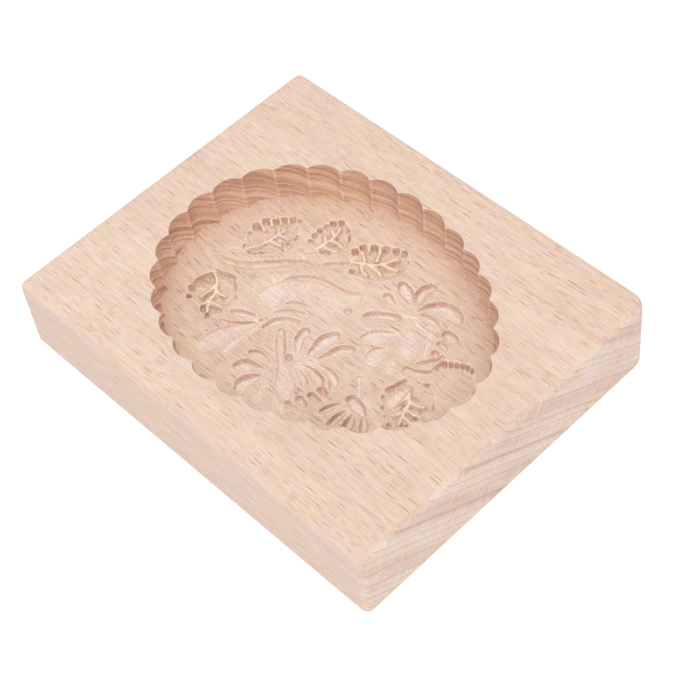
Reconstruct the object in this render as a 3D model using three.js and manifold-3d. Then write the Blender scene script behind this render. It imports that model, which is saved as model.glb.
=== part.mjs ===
// Wooden cookie mould: one rounded beech block with a scalloped oval recess cut into its face,
// and a bird, a leafy branch and three flowers carved below the floor of the recess.
// Millimetres. X runs along the grain, Y across it, Z out of the carved face.
// The origin is at the middle of the underside.
import * as THREE from 'three';
import { RoundedBoxGeometry } from 'three/addons/geometries/RoundedBoxGeometry.js';
import { mergeVertices } from 'three/addons/utils/BufferGeometryUtils.js';
import Module from 'manifold-3d';

// Block
const BLOCK_LENGTH = 120;
const BLOCK_WIDTH = 97;
const BLOCK_HEIGHT = 23;
const EDGE_RADIUS = 2;
const EDGE_STEPS = 3;

// Recess: the cusps between the lobes lie on an oval that is a little fuller at its -X end
const RECESS_HALF_LENGTH = 45.8;
const RECESS_HALF_WIDTH = 34.9;
const RECESS_FULLNESS = 0.087;
const RECESS_CENTRE_X = 0.5;
const RECESS_CENTRE_Y = -0.8;
const RECESS_DEPTH = 11;
const RECESS_DRAFT = 0.5;
const LOBE_COUNT = 30;
const LOBE_BULGE = 1.9;
const LOBE_STEPS = 5;

// Carving depths below the floor, and the slope of the carved walls
const PETAL_DEPTH = 1.5;
const STEM_DEPTH = 1.2;
const LEAF_DEPTH = 1.6;
const BEAD_DEPTH = 1.4;
const BODY_DEPTH = 1.3;
const COVERT_DEPTH = 0.9;
const FEATHER_DEPTH = 1.9;
const EYE_DEPTH = 2.1;
const WALL_SLOPE = 0.3;

// Leaves: round teeth along both edges, and veins that are left standing
const TOOTH_BULGE = 0.75;
const TOOTH_STEPS = 3;
const VEIN_HEIGHT = 1.1;
const VEIN_HALF_WIDTH = 0.3;
const VEIN_PAIRS = 3;

// The picture is drawn from the middle of the oval for a floor of this size, and follows the real floor
const DRAWN_HALF_LENGTH = 45.3;
const DRAWN_HALF_WIDTH = 34.4;

// How far the cutters reach out above the surface that they cut
const CUTTER_CLEARANCE = 0.5;

const FLOOR_HEIGHT = BLOCK_HEIGHT - RECESS_DEPTH;

const wasm = await Module();
wasm.setup();

function toSolid(geometry) {
  const bare = geometry.clone();
  bare.deleteAttribute('normal');
  bare.deleteAttribute('uv');
  const welded = mergeVertices(bare);
  return new wasm.Manifold(new wasm.Mesh({
    numProp: 3,
    vertProperties: new Float32Array(welded.attributes.position.array),
    triVerts: new Uint32Array(welded.index.array),
  }));
}

function toGeometry(solid) {
  const mesh = solid.getMesh();
  const geometry = new THREE.BufferGeometry();
  geometry.setAttribute('position', new THREE.BufferAttribute(mesh.vertProperties, 3));
  geometry.setIndex(new THREE.BufferAttribute(mesh.triVerts, 1));
  geometry.computeVertexNormals();
  return geometry;
}

function join(solids) {
  return solids.reduce((sum, solid) => sum.add(solid));
}

// A closed solid through sections with equal point counts; caps are the triangles of one section
function skin(sections, capTriangles) {
  const count = sections[0].length;
  const positions = sections.flat().flatMap((point) => [point.x, point.y, point.z]);
  const indices = [];
  const last = (sections.length - 1) * count;
  for (const [a, b, c] of capTriangles) {
    indices.push(c, b, a);
    indices.push(last + a, last + b, last + c);
  }
  for (let row = 0; row + 1 < sections.length; row += 1) {
    for (let i = 0; i < count; i += 1) {
      const a = row * count + i;
      const b = row * count + ((i + 1) % count);
      indices.push(a, b, b + count);
      indices.push(a, b + count, a + count);
    }
  }
  const geometry = new THREE.BufferGeometry();
  geometry.setAttribute('position', new THREE.Float32BufferAttribute(positions, 3));
  geometry.setIndex(indices);
  return toSolid(geometry);
}

// A solid between two level outlines
function between(lowerOutline, lowerHeight, upperOutline, upperHeight) {
  const level = (outline, height) => outline.map((p) => new THREE.Vector3(p.x, p.y, height));
  const caps = THREE.ShapeUtils.triangulateShape(lowerOutline, []);
  return skin([level(lowerOutline, lowerHeight), level(upperOutline, upperHeight)], caps);
}

// The scalloped oval, drawn in by the inset: equal lobes, one at each end of the long axis
class OvalCurve extends THREE.Curve {
  constructor(inset) {
    super();
    this.inset = inset;
  }

  getPoint(t, target = new THREE.Vector2()) {
    const angle = t * Math.PI * 2;
    const along = Math.cos(angle);
    const across = Math.sin(angle) * (1 - RECESS_FULLNESS * along);
    return target.set(
      RECESS_CENTRE_X + (RECESS_HALF_LENGTH - this.inset) * along,
      RECESS_CENTRE_Y + (RECESS_HALF_WIDTH - this.inset) * across,
    );
  }
}

// An outline of round lobes that bulge outwards between cusps, which run counterclockwise
function lobedOutline(cusps, bulge, steps) {
  const outline = [];
  cusps.forEach((start, i) => {
    const end = cusps[(i + 1) % cusps.length];
    const chord = end.clone().sub(start);
    const half = chord.length() / 2;
    const outward = new THREE.Vector2(chord.y, -chord.x).normalize();
    const radius = (half * half + bulge * bulge) / (2 * bulge);
    const centre = start.clone().add(end).multiplyScalar(0.5);
    centre.addScaledVector(outward, bulge - radius);
    const reach = Math.atan2(half, radius - bulge);
    for (let step = 0; step < steps; step += 1) {
      const swing = reach * ((2 * step) / steps - 1);
      const spoke = outward.clone().rotateAround(new THREE.Vector2(), swing);
      outline.push(centre.clone().addScaledVector(spoke, radius));
    }
  });
  return outline;
}

function recessOutline(inset) {
  const oval = new OvalCurve(inset);
  const cusps = [];
  for (let i = 0; i < LOBE_COUNT; i += 1) {
    cusps.push(oval.getPointAt((i + 0.5) / LOBE_COUNT));
  }
  return lobedOutline(cusps, LOBE_BULGE, LOBE_STEPS);
}

function recessCutter() {
  const flare = (RECESS_DRAFT * CUTTER_CLEARANCE) / RECESS_DEPTH;
  return between(
    recessOutline(RECESS_DRAFT),
    FLOOR_HEIGHT,
    recessOutline(-flare),
    BLOCK_HEIGHT + CUTTER_CLEARANCE,
  );
}

// From the drawing to the real floor; the third value of a drawn point is its half width
const SCALE_X = (RECESS_HALF_LENGTH - RECESS_DRAFT) / DRAWN_HALF_LENGTH;
const SCALE_Y = (RECESS_HALF_WIDTH - RECESS_DRAFT) / DRAWN_HALF_WIDTH;

function place([x, y, halfWidth = 0]) {
  return new THREE.Vector3(
    RECESS_CENTRE_X + x * SCALE_X,
    RECESS_CENTRE_Y + y * SCALE_Y,
    halfWidth * Math.min(SCALE_X, SCALE_Y),
  );
}

// Stations along a drawn stroke. One more past each end, at this share of the half width, rounds it.
const STATION_SPACING = 2.4;
const END_SHARE = 0.75;

function stations(points) {
  const spine = new THREE.CatmullRomCurve3(points);
  const steps = Math.max(1, Math.round(spine.getLength() / STATION_SPACING));
  const list = [];
  for (let i = 0; i <= steps; i += 1) {
    const at = spine.getPoint(i / steps);
    const heading = spine.getTangent(i / steps).setZ(0).normalize();
    list.push({ at: new THREE.Vector2(at.x, at.y), heading, halfWidth: at.z });
  }
  const rounded = (end, sense) => ({
    at: end.at.clone().addScaledVector(end.heading, sense * END_SHARE * end.halfWidth),
    heading: end.heading,
    halfWidth: end.halfWidth * Math.sqrt(1 - END_SHARE ** 2),
  });
  return [rounded(list[0], -1), ...list, rounded(list[steps], 1)];
}

// Two triangles that close the end of a solid with four-sided sections
const FOUR_SIDED_CAP = [[0, 1, 2], [0, 2, 3]];

// A carved groove: its drawn width is its width at the floor, and its walls lean in below that,
// down to a bottom that keeps at least this share of the width
const BOTTOM_SHARE = 0.4;

function groove(drawn, depth) {
  const sections = stations(drawn.map(place)).map(({ at, heading, halfWidth }) => {
    const corner = (side, height) => {
      const reach = side * Math.max(halfWidth + WALL_SLOPE * height, halfWidth * BOTTOM_SHARE);
      return new THREE.Vector3(
        at.x - heading.y * reach,
        at.y + heading.x * reach,
        FLOOR_HEIGHT + height,
      );
    };
    return [
      corner(-1, -depth),
      corner(1, -depth),
      corner(1, CUTTER_CLEARANCE),
      corner(-1, CUTTER_CLEARANCE),
    ];
  });
  return skin(sections, FOUR_SIDED_CAP);
}

// A hollow inside a level outline that runs counterclockwise
function hollow(rim, depth) {
  const middle = rim.reduce((sum, p) => sum.add(p), new THREE.Vector2()).divideScalar(rim.length);
  const drawnIn = (distance) => rim.map((point) => {
    const inward = middle.clone().sub(point).normalize();
    return point.clone().addScaledVector(inward, distance);
  });
  return between(
    drawnIn(WALL_SLOPE * depth),
    FLOOR_HEIGHT - depth,
    drawnIn(-WALL_SLOPE * CUTTER_CLEARANCE),
    FLOOR_HEIGHT + CUTTER_CLEARANCE,
  );
}

// A hollow that is smooth through its drawn points
const BASIN_STEPS = 2;

function basin(drawn, depth) {
  const curve = new THREE.CatmullRomCurve3(drawn.map(place), true);
  const loop = curve.getPoints(drawn.length * BASIN_STEPS);
  const rim = loop.slice(1).map((point) => new THREE.Vector2(point.x, point.y));
  return hollow(rim, depth);
}

// A ridge that is left standing in a leaf, from one point to another
function ridge(start, end) {
  const heading = end.clone().sub(start).setZ(0).normalize();
  const sections = [start, end].map((point) => {
    const corner = (side, height) => new THREE.Vector3(
      point.x - side * heading.y,
      point.y + side * heading.x,
      FLOOR_HEIGHT - LEAF_DEPTH + height,
    );
    const foot = VEIN_HALF_WIDTH + WALL_SLOPE * VEIN_HEIGHT;
    return [
      corner(-foot, -CUTTER_CLEARANCE),
      corner(foot, -CUTTER_CLEARANCE),
      corner(VEIN_HALF_WIDTH, VEIN_HEIGHT),
      corner(-VEIN_HALF_WIDTH, VEIN_HEIGHT),
    ];
  });
  return skin(sections, FOUR_SIDED_CAP);
}

// A serrated leaf: round teeth on both sides of a bent axis, and standing veins.
// Left and right are as seen when looking from the base to the tip. A leaf's outline is a half wave
// that starts and stops short by these shares, and a vein starts this share of the axis behind its end.
const BASE_CUT = 0.12;
const TIP_CUT = 0.05;
const VEIN_LEAN = 0.16;
const VEIN_REACH = 0.75;

function leaf({ axis, left, right, teeth, veined }) {
  const spine = new THREE.CatmullRomCurve3(axis.map(place));
  const swell = (u) => Math.sin(Math.PI * (BASE_CUT + (1 - BASE_CUT - TIP_CUT) * u));
  const edge = (u, side) => {
    const heading = spine.getTangentAt(u).setZ(0).normalize();
    const reach = side * (side > 0 ? left : right) * swell(u);
    return spine.getPointAt(u).add(new THREE.Vector3(-heading.y * reach, heading.x * reach, 0));
  };
  const shares = Array.from({ length: teeth + 1 }, (_, i) => i / teeth);
  const rightSide = shares.map((u) => edge(u, -1));
  const leftSide = shares.map((u) => edge(u, 1)).reverse();
  const cusps = [...rightSide, ...leftSide].map((point) => new THREE.Vector2(point.x, point.y));
  const blade = hollow(lobedOutline(cusps, TOOTH_BULGE, TOOTH_STEPS), LEAF_DEPTH);
  if (!veined) {
    return blade;
  }
  const ribs = [];
  for (let i = 1; i <= VEIN_PAIRS; i += 1) {
    const u = i / (VEIN_PAIRS + 1);
    const root = spine.getPointAt(u - VEIN_LEAN);
    for (const side of [1, -1]) {
      ribs.push(ridge(root, root.clone().lerp(edge(u, side), VEIN_REACH)));
    }
    ribs.push(ridge(spine.getPointAt((i - 1) / (VEIN_PAIRS + 1)), spine.getPointAt(u)));
  }
  return blade.subtract(join(ribs));
}

// The branch across the upper left, with its knot and the leaf stalks
function branch() {
  return join([
    [[-37.5, -4.2, 0.6], [-33.5, -3.1, 0.9], [-29, -0.6, 1.1], [-25, 3.2, 1.1], [-21.2, 7.4, 1]],
    [[-21.2, 7.4, 1], [-18.8, 9.4, 0.8], [-16, 10.1, 0.8]],
    [[-16, 10.1, 0.8], [-13.7, 11.5, 1], [-11.3, 13.7, 1.2], [-9.4, 15.6, 1.3]],
    [[-19.2, 10.7, 1], [-17.7, 12, 0.9], [-18.1, 13.7, 0.6]],
    [[-34.2, 2.4, 0.6], [-35.3, -0.4, 0.8]],
    [[-39.8, -4.5, 0.3], [-36.3, -5.6, 0.4], [-33.5, -7.4, 0.5]],
    [[24.4, 2.7, 1], [27.1, 3.4, 1], [29.8, 4.5, 1.2]],
  ].map((points) => groove(points, STEM_DEPTH)));
}

function leaves() {
  return join([
    { axis: [[-33.9, 2.6], [-31.5, 9.8], [-29.7, 18.4]], left: 6.5, right: 5.6, teeth: 6, veined: true },
    { axis: [[-18.7, 13.7], [-19.2, 19.8], [-20.5, 25.6]], left: 4.9, right: 4.6, teeth: 5, veined: true },
    { axis: [[-10.1, 16], [-4.5, 21.2], [0.9, 27.6]], left: 5.6, right: 5.4, teeth: 6, veined: true },
    { axis: [[-33.5, -7.2], [-29.8, -11.7], [-25.5, -19.5]], left: 6.2, right: 5.4, teeth: 4, veined: true },
    { axis: [[26.1, 1], [31.3, -5.2], [34.5, -12.8]], left: 6.2, right: 5.6, teeth: 5, veined: true },
    { axis: [[28.9, 5], [35, 6.8], [41.6, 7.6]], left: 6.2, right: 5.8, teeth: 5, veined: false },
  ].map(leaf));
}

// The bird flies to the upper right: body with crest and beak, wing, tail and eye
function bird() {
  const body = [
    [-15.9, -1.2], [-11.5, -3.7], [-6.5, -2.4], [-2.1, -2.6], [1.1, -1.2], [3.5, 2.8], [4.3, 5.9],
    [2.5, 8.4], [1.3, 10.4], [-0.1, 11.8], [-1.7, 10.7], [-4.5, 9.7], [-8.5, 8.7], [-12.5, 7.4],
    [-15.5, 5.6], [-17.3, 3.2],
  ];
  const coverts = [
    [-16.7, 4.6], [-20.1, 4.4], [-22.5, 2.2], [-24.1, 0], [-22.5, -2.2], [-20.9, -4.8],
    [-20.5, -7.6], [-18.9, -10], [-15.5, -9.6], [-12.7, -6.8], [-12.5, -2.2], [-14.5, 1.8],
  ];
  const feathers = [
    [[-12.2, -3.7, 0.4], [-11.1, -1.7, 0.8], [-8.9, -0.8, 0.9], [-6.5, -0.4, 0.5]],
    [[-12.6, -6.9, 0.4], [-11.5, -5.2, 0.8], [-9.4, -3.9, 0.9], [-6.5, -2.4, 0.5]],
    [[-11.1, -11.2, 0.9], [-10.2, -9, 1.1], [-8.7, -7, 1.1], [-6.3, -5.2, 0.7]],
    [[-19.6, -12.8, 1], [-17.5, -10.8, 1.3], [-15.1, -8.5, 1.5]],
    [[-19.8, -16.7, 0.8], [-17.1, -14.7, 1], [-13.5, -11.2, 1]],
    [[-18.3, -25.2, 2.1], [-17.9, -21.8, 2.8], [-16.3, -17.6, 2.1], [-13.5, -12.8, 1.2]],
    [[-12.7, -22.8, 1.6], [-13.1, -19.2, 1.7], [-12.7, -14.8, 1.1], [-12.3, -11.2, 0.7]],
  ];
  return join([
    basin(body, BODY_DEPTH),
    basin(coverts, COVERT_DEPTH),
    ...feathers.map((points) => groove(points, FEATHER_DEPTH)),
    groove([[0.4, 5.9, 0.9], [1, 5.4, 0.9]], EYE_DEPTH),
  ]);
}

// The upper right flower, with a bud and three small beads beside it
function upperFlower() {
  const petals = [
    [[5.4, 20.8, 1.2], [7.1, 19.4, 2], [9.3, 18.2, 1.3], [11.9, 17, 0.5]],
    [[11.8, 24.4, 1.8], [11.2, 22.1, 2.1], [11.9, 19.5, 1.4], [12.9, 17, 0.5]],
    [[23.6, 20.7, 1.3], [21.9, 21.3, 2.2], [18.7, 21.4, 2.6], [15.7, 19.8, 1.7], [13.8, 16.6, 0.5]],
    [[21.1, 16.2, 0.9], [19.1, 16.7, 1.3], [16.5, 16.7, 1.1], [14.4, 15.9, 0.4]],
    [[20.1, 13.6, 1.1], [17.1, 13.7, 1.1], [14.5, 14.4, 0.4]],
    [[4.8, 15.7, 0.8], [6.7, 15, 0.8], [12.1, 15, 0.3]],
    [[5.7, 7.7, 0.7], [8.5, 9.9, 1.1], [11.5, 11.8, 1.2], [13.3, 13.8, 0.4]],
    [[9.9, 2.4, 1.4], [11, 3.7, 2.2], [13, 6, 1.8], [15.5, 8.8, 0.5]],
    [[16.5, -1.9, 1.3], [15.8, -0.8, 1.9], [15.6, 1, 1.8], [16.3, 3.4, 0.6]],
    [[21.5, -1.2, 1.5], [20.4, 0.8, 1.6], [19.5, 3, 1.1]],
    [[21.5, 4.2, 1.8], [20, 7, 2.7], [17.1, 9.8, 2.1], [14.1, 12.1, 0.7]],
    [[25.1, 7.4, 0.9], [23.1, 10.4, 0.9], [21.1, 13.2, 0.4]],
  ];
  const beads = [
    [[24.3, 16.5, 1.5], [26, 16.4, 1.8]],
    [[25.1, 13.3, 0.9], [26.9, 13.4, 1.1]],
    [[26.2, 10.2, 1.2], [27.5, 9.6, 1.3]],
    [[26.5, 7, 0.9], [27.5, 6.6, 0.8]],
  ];
  return join([
    ...petals.map((points) => groove(points, PETAL_DEPTH)),
    ...beads.map((points) => groove(points, BEAD_DEPTH)),
  ]);
}

// The large flower at the bottom, with its stem and four beads
function lowerFlower() {
  const petals = [
    [[-2.3, -6, 1.7], [-1.7, -8.5, 1.6], [0.3, -11.2, 1], [1.9, -13, 0.5]],
    [[3.9, -2.3, 1.8], [3.4, -4.8, 2.3], [3.2, -7.8, 1.7], [3.6, -11.4, 0.6]],
    [[9.8, -2.6, 1.6], [8.3, -4.5, 1.9], [7.1, -7.2, 1.5], [5.6, -10.7, 0.5]],
    [[14.7, -13.8, 0.9], [13.6, -12, 1.3], [11, -10.8, 1.1], [8, -11, 0.9], [5.1, -11.9, 0.4]],
    [[11.6, -14.7, 1], [10.6, -14.3, 1.4], [8.4, -13.7, 1.3], [5.7, -13.5, 0.8], [3.2, -14, 0.4]],
    [[8.7, -17.3, 0.8], [8, -16.8, 1.1], [5.8, -15.8, 0.8], [3.6, -15.1, 0.4]],
    [[7.2, -21.8, 1.8], [5.9, -20.9, 2.4], [3.5, -19.2, 2.2], [0.8, -17, 1.2]],
    [[10.3, -26.2, 1.1], [8.7, -25.6, 1.3], [6.1, -24.4, 0.6]],
    [[-7.7, -19.1, 0.9], [-6.1, -18.1, 1.1], [-3.5, -18.1, 0.8], [-1.2, -18.6, 0.3]],
    [[-7.1, -24.2, 1.7], [-6.1, -23, 2.1], [-3.8, -21.5, 1.2], [-1, -20.1, 0.4]],
    [[-2.1, -28.2, 1.7], [-2.5, -26.8, 2.1], [-1.9, -24.6, 1.7], [-0.6, -22, 0.5]],
    [[3.5, -27.8, 1.2], [2.8, -26.1, 1.5], [1.4, -23.2, 1], [0.4, -20.4, 0.4]],
  ];
  const beads = [
    [[13.2, -15.9, 1.3], [14.4, -16.2, 1]],
    [[12.6, -18.6, 1.3], [14.5, -18.2, 1.2]],
    [[11.5, -21.3, 1.5], [13, -21.6, 1.3]],
    [[10.4, -23.9, 1], [11.8, -24.4, 0.8]],
  ];
  return join([
    ...petals.map((points) => groove(points, PETAL_DEPTH)),
    ...beads.map((points) => groove(points, BEAD_DEPTH)),
    groove([[-6.9, -10.3, 1], [-4.5, -12.5, 1], [-1.5, -15.2, 1], [0.9, -17.2, 1.1]], STEM_DEPTH),
    groove([[-0.1, -14, 0.8], [1.1, -14.9, 0.8]], BEAD_DEPTH),
  ]);
}

// The half open flower at the lower right
function budFlower() {
  const petals = [
    [[30.7, -14.2, 0.4], [28, -13, 0.7], [25, -12.2, 0.8], [22.1, -11.5, 0.8]],
    [[25.5, -14.2, 1.4], [23, -13.6, 1.9], [20.5, -13, 1.6]],
    [[18, -19.8, 1.1], [18.7, -17.6, 1.2], [19.9, -15.1, 0.5]],
    [[21.8, -21.5, 1.4], [21.7, -18.7, 1.3], [21.9, -16, 0.6]],
    [[25.9, -21, 1.5], [25.2, -18.4, 1.5], [24.2, -15.8, 0.6]],
    [[29.5, -18.2, 1.4], [28.1, -16.5, 1.4], [26.4, -15.1, 0.6]],
  ];
  return join([
    ...petals.map((points) => groove(points, PETAL_DEPTH)),
    groove([[17.5, -7.3, 0.8], [19.5, -9.2, 0.8], [21.3, -11.2, 0.9]], STEM_DEPTH),
  ]);
}

function mouldBlock() {
  const box = new RoundedBoxGeometry(BLOCK_LENGTH, BLOCK_WIDTH, BLOCK_HEIGHT, EDGE_STEPS, EDGE_RADIUS);
  box.translate(0, 0, BLOCK_HEIGHT / 2);
  const carving = join([leaves(), branch(), bird(), upperFlower(), lowerFlower(), budFlower()]);
  return toSolid(box).subtract(recessCutter()).subtract(carving);
}

const beech = new THREE.MeshStandardMaterial({ color: 0xe9cbb3, roughness: 0.7, metalness: 0 });
const mould = new THREE.Mesh(toGeometry(mouldBlock()), beech);
mould.name = 'mould_block';

const cookieMould = new THREE.Group();
cookieMould.add(mould);

export default cookieMould;
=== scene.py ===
import math

import bpy
import numpy as np
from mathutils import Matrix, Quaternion, Vector


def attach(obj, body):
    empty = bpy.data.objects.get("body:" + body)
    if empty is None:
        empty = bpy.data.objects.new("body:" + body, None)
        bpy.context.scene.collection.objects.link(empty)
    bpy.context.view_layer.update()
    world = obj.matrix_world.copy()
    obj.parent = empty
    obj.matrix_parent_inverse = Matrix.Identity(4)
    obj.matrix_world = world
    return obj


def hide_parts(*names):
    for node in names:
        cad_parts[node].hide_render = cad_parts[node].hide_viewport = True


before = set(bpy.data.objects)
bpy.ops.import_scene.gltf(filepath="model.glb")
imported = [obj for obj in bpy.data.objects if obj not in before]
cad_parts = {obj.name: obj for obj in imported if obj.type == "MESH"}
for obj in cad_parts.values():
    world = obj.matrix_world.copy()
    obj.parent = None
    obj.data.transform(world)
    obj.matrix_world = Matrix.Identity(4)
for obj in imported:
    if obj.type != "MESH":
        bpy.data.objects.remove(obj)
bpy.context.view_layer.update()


# The block
# One piece of plain-sawn beech, planed flat and sanded all over. Its edges and corners are rounded over by
# hand, one corner more than the others. The growth rings lie at a slope in it and run along its length.
MM = 0.001
BLOCK_SIZE = Vector((120, 97, 23)) * MM
EDGE_RADIUS = 2 * MM
EDGE_SEGMENTS = 6
WORN_RADIUS = 4.5 * MM
WORN_SEGMENTS = 8
SMOOTH_ANGLE = math.radians(40)

RING_SLOPE = math.radians(31)
RING_SPACING = 2.6
RADIAL = (0.0, math.sin(RING_SLOPE), math.cos(RING_SLOPE))
PALE_BEECH = (0.87, 0.67, 0.535, 1)
PINK_BEECH = (0.75, 0.51, 0.4, 1)
RING_BROWN = (0.55, 0.34, 0.24, 1)
FLECK_BROWN = (0.4, 0.18, 0.085, 1)
RAY_CREAM = (0.92, 0.79, 0.68, 1)
WARMTH = (0.92, 1.12, 1.3)
TAN_PATCH = (0.995, 0.99, 0.955, 1)
PINK_PATCH = (1.005, 1.0, 1.045, 1)


class Sheet:
    """A material's node tree, with short ways to add a node and to join it to others."""

    def __init__(self, name):
        self.material = bpy.data.materials.new(name)
        self.material.use_nodes = True
        self.tree = self.material.node_tree
        self.shader = self.tree.nodes["Principled BSDF"]

    def join(self, value, socket):
        if isinstance(value, bpy.types.NodeSocket):
            self.tree.links.new(value, socket)
        else:
            socket.default_value = value

    def add(self, kind, inputs=None, **settings):
        node = self.tree.nodes.new(kind)
        for key, value in settings.items():
            setattr(node, key, value)
        for key, value in (inputs or {}).items():
            self.join(value, node.inputs[key])
        return node

    def number(self, operation, *values, clamp=False):
        node = self.add("ShaderNodeMath", dict(enumerate(values)), operation=operation, use_clamp=clamp)
        return node.outputs[0]

    def vector(self, operation, *values):
        node = self.add("ShaderNodeVectorMath", dict(enumerate(values)), operation=operation)
        return node.outputs[0]

    def scaled(self, colour, factor):
        node = self.add("ShaderNodeVectorMath", {0: colour, "Scale": factor}, operation="SCALE")
        return node.outputs[0]

    def along(self, vector, direction):
        node = self.add("ShaderNodeVectorMath", {0: vector, 1: direction}, operation="DOT_PRODUCT")
        return node.outputs["Value"]

    def attribute(self, name):
        return self.add("ShaderNodeAttribute", attribute_name=name).outputs["Fac"]

    def split(self, vector):
        return self.add("ShaderNodeSeparateXYZ", {0: vector}).outputs

    def stretched(self, vector, scale):
        return self.add("ShaderNodeMapping", {"Vector": vector, "Scale": scale}).outputs[0]

    def noise(self, vector, scale=1.0, detail=2.0, roughness=0.5):
        inputs = {"Vector": vector, "Scale": scale, "Detail": detail, "Roughness": roughness}
        return self.add("ShaderNodeTexNoise", inputs).outputs[0]

    def between(self, value, low, high):
        inputs = {"Value": value, "From Min": low, "From Max": high}
        node = self.add("ShaderNodeMapRange", inputs, interpolation_type="SMOOTHSTEP")
        return node.outputs[0]

    def blend(self, share, first, second):
        node = self.add("ShaderNodeMix", data_type="RGBA")
        self.join(share, node.inputs[0])
        self.join(first, node.inputs[6])
        self.join(second, node.inputs[7])
        return node.outputs[2]


def flecks(sheet, grain, cell, length, width, presence):
    """Ray flecks: a short dash along the grain in some of the cells, crowded in some streaks.

    The cell, the length and the width are in millimetres.
    """
    laid = sheet.stretched(grain, tuple(1 / size for size in cell))
    cells = sheet.add("ShaderNodeTexVoronoi", {"Vector": laid, "Scale": 1.0, "Randomness": 1.0})
    offset = sheet.vector("SUBTRACT", laid, cells.outputs["Position"])
    chance = sheet.add("ShaderNodeSeparateColor", {"Color": cells.outputs["Color"]})
    shape = (cell[0] / length, cell[1] / width, 0.6)
    reach = sheet.vector("MULTIPLY", offset, shape)
    distance = sheet.add("ShaderNodeVectorMath", {0: reach}, operation="LENGTH").outputs["Value"]
    size = sheet.number("MULTIPLY_ADD", chance.outputs[0], 0.75, 0.25)
    inside = sheet.number("SUBTRACT", size, distance)
    dash = sheet.between(inside, 0.0, 0.25)
    dash = sheet.number("MULTIPLY", dash, sheet.number("MULTIPLY_ADD", chance.outputs[2], 0.6, 0.4))
    crowding = sheet.noise(sheet.stretched(grain, (0.03, 0.15, 0.1)), detail=1.0)
    wanted = sheet.number("MULTIPLY_ADD", crowding, 1.6, sheet.number("SUBTRACT", chance.outputs[1], 0.8))
    shown = sheet.between(wanted, 1 - presence, 1.2 - presence)
    return sheet.number("MULTIPLY", dash, shown)


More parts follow.
